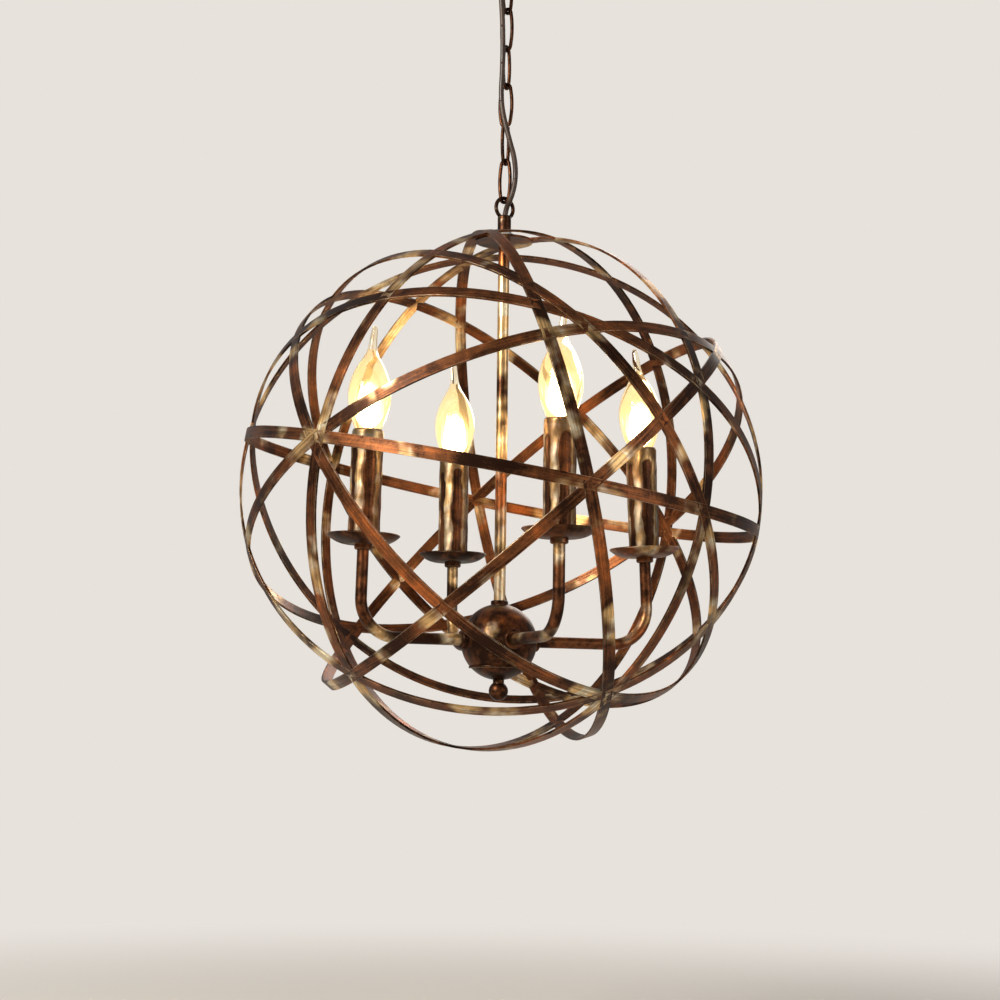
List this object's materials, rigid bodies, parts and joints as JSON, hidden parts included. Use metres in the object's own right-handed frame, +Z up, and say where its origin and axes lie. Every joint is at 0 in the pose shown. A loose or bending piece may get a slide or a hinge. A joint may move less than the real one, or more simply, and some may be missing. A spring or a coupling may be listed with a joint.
{
  "type": "orb chandelier",
  "caption": "Hanging ceiling light: an open cage of flat metal bands round a candle-style arm cluster, on a chain.",
  "frame": {"origin": "middle of the ceiling plate's top face, where the lamp meets the ceiling; the lamp hangs below z = 0", "axes": "+Z up, out of the lamp into the ceiling; +X to the right and +Y away from a viewer facing the lamp as pictured"},
  "size_m": [0.4487, 0.4498, 0.746],
  "materials": {
    "aged_bronze_band": "aged bronze paint over steel, with copper and pale rub marks",
    "aged_bronze": "aged bronze paint over steel, mottled copper",
    "aged_bronze_candle": "aged bronze paint, rubbed copper on the drips",
    "dark_bronze_chain": "dark bronze, satin",
    "cord_jacket": "dark brown clear-coated cord",
    "clear_glass": "clear",
    "nickel_cap": "bright screw cap",
    "filament_and_stem": "glass stem with filament sticks",
    "lampholder_plastic": "black heat-proof plastic",
    "zinc_steel": "zinc plate"
  },
  "bodies": {
    "ceiling_fitting": {"ceiling_plate": "zinc_steel", "canopy": "aged_bronze", "canopy_nipple": "zinc_steel", "canopy_locknut": "zinc_steel", "canopy_loop": "dark_bronze_chain", "supply_cord": "cord_jacket"},
    "link_1": {"chain_link_1": "dark_bronze_chain"},
    "link_2": {"chain_link_2": "dark_bronze_chain"},
    "link_3": {"chain_link_3": "dark_bronze_chain"},
    "link_4": {"chain_link_4": "dark_bronze_chain"},
    "link_5": {"chain_link_5": "dark_bronze_chain"},
    "link_6": {"chain_link_6": "dark_bronze_chain"},
    "orb": {"orb_loop": "dark_bronze_chain", "orb_nipple": "zinc_steel", "orb_locknut": "zinc_steel", "crown_plate": "aged_bronze_band", "centre_rod": "aged_bronze", "hub_body": "aged_bronze", "hub_cap": "aged_bronze", "hub_finial": "aged_bronze", "arm_collars": "aged_bronze", "dish_nuts": "aged_bronze", "band_01_level": "aged_bronze_band", "band_02_front_low_left": "aged_bronze_band", "band_03_rising_right": "aged_bronze_band", "band_04_upright_side": "aged_bronze_band", "band_05_front_high": "aged_bronze_band", "band_06_high_wide": "aged_bronze_band", "band_07_falling_right": "aged_bronze_band", "band_08_upright_left": "aged_bronze_band", "band_09_upright_right": "aged_bronze_band", "band_10_back_high": "aged_bronze_band", "arm_1": "aged_bronze", "drip_dish_1": "aged_bronze", "candle_sleeve_1": "aged_bronze_candle", "lampholder_1": "lampholder_plastic", "arm_2": "aged_bronze", "drip_dish_2": "aged_bronze", "candle_sleeve_2": "aged_bronze_candle", "lampholder_2": "lampholder_plastic", "arm_3": "aged_bronze", "drip_dish_3": "aged_bronze", "candle_sleeve_3": "aged_bronze_candle", "lampholder_3": "lampholder_plastic", "arm_4": "aged_bronze", "drip_dish_4": "aged_bronze", "candle_sleeve_4": "aged_bronze_candle", "lampholder_4": "lampholder_plastic"},
    "bulb_1": {"bulb_1_glass": "clear_glass", "bulb_1_cap": "nickel_cap", "bulb_1_filament": "filament_and_stem"},
    "bulb_2": {"bulb_2_glass": "clear_glass", "bulb_2_cap": "nickel_cap", "bulb_2_filament": "filament_and_stem"},
    "bulb_3": {"bulb_3_glass": "clear_glass", "bulb_3_cap": "nickel_cap", "bulb_3_filament": "filament_and_stem"},
    "bulb_4": {"bulb_4_glass": "clear_glass", "bulb_4_cap": "nickel_cap", "bulb_4_filament": "filament_and_stem"}
  },
  "joints": [
    {"name": "chain_swing_1", "type": "hinge", "parent": "ceiling_fitting", "child": "link_1", "pos_m": [0, 0, -0.05875], "axis": [0.766, -0.6428, 0], "range_deg": [-15, 15], "deforming": ["supply_cord"]},
    {"name": "chain_swing_2", "type": "hinge", "parent": "link_1", "child": "link_2", "pos_m": [0, 0, -0.09315], "axis": [0.6428, 0.766, 0], "range_deg": [-15, 15], "deforming": ["supply_cord"]},
    {"name": "chain_swing_3", "type": "hinge", "parent": "link_2", "child": "link_3", "pos_m": [0, 0, -0.12765], "axis": [0.766, -0.6428, 0], "range_deg": [-15, 15], "deforming": ["supply_cord"]},
    {"name": "chain_swing_4", "type": "hinge", "parent": "link_3", "child": "link_4", "pos_m": [0, 0, -0.16215], "axis": [0.4695, 0.8829, 0], "range_deg": [-15, 15], "deforming": ["supply_cord"]},
    {"name": "chain_swing_5", "type": "hinge", "parent": "link_4", "child": "link_5", "pos_m": [0, 0, -0.19665], "axis": [0.8829, -0.4695, 0], "range_deg": [-15, 15], "deforming": ["supply_cord"]},
    {"name": "chain_swing_6", "type": "hinge", "parent": "link_5", "child": "link_6", "pos_m": [0, 0, -0.23115], "axis": [0.4695, 0.8829, 0], "range_deg": [-15, 15], "deforming": ["supply_cord"]},
    {"name": "chain_swing_7", "type": "hinge", "parent": "link_6", "child": "orb", "pos_m": [0, 0, -0.26565], "axis": [0.766, -0.6428, 0], "range_deg": [-15, 15], "deforming": ["supply_cord"]},
    {"name": "bulb_1_draw", "type": "slide", "parent": "orb", "child": "bulb_1", "axis": [-0.0411, -0.0146, 0.999], "range_m": [0, 0.03]},
    {"name": "bulb_2_draw", "type": "slide", "parent": "orb", "child": "bulb_2", "axis": [0, 0, 1], "range_m": [0, 0.03]},
    {"name": "bulb_3_draw", "type": "slide", "parent": "orb", "child": "bulb_3", "axis": [0.0211, 0.0083, 0.9997], "range_m": [0, 0.03]},
    {"name": "bulb_4_draw", "type": "slide", "parent": "orb", "child": "bulb_4", "axis": [0, 0, 1], "range_m": [0, 0.03]}
  ]
}
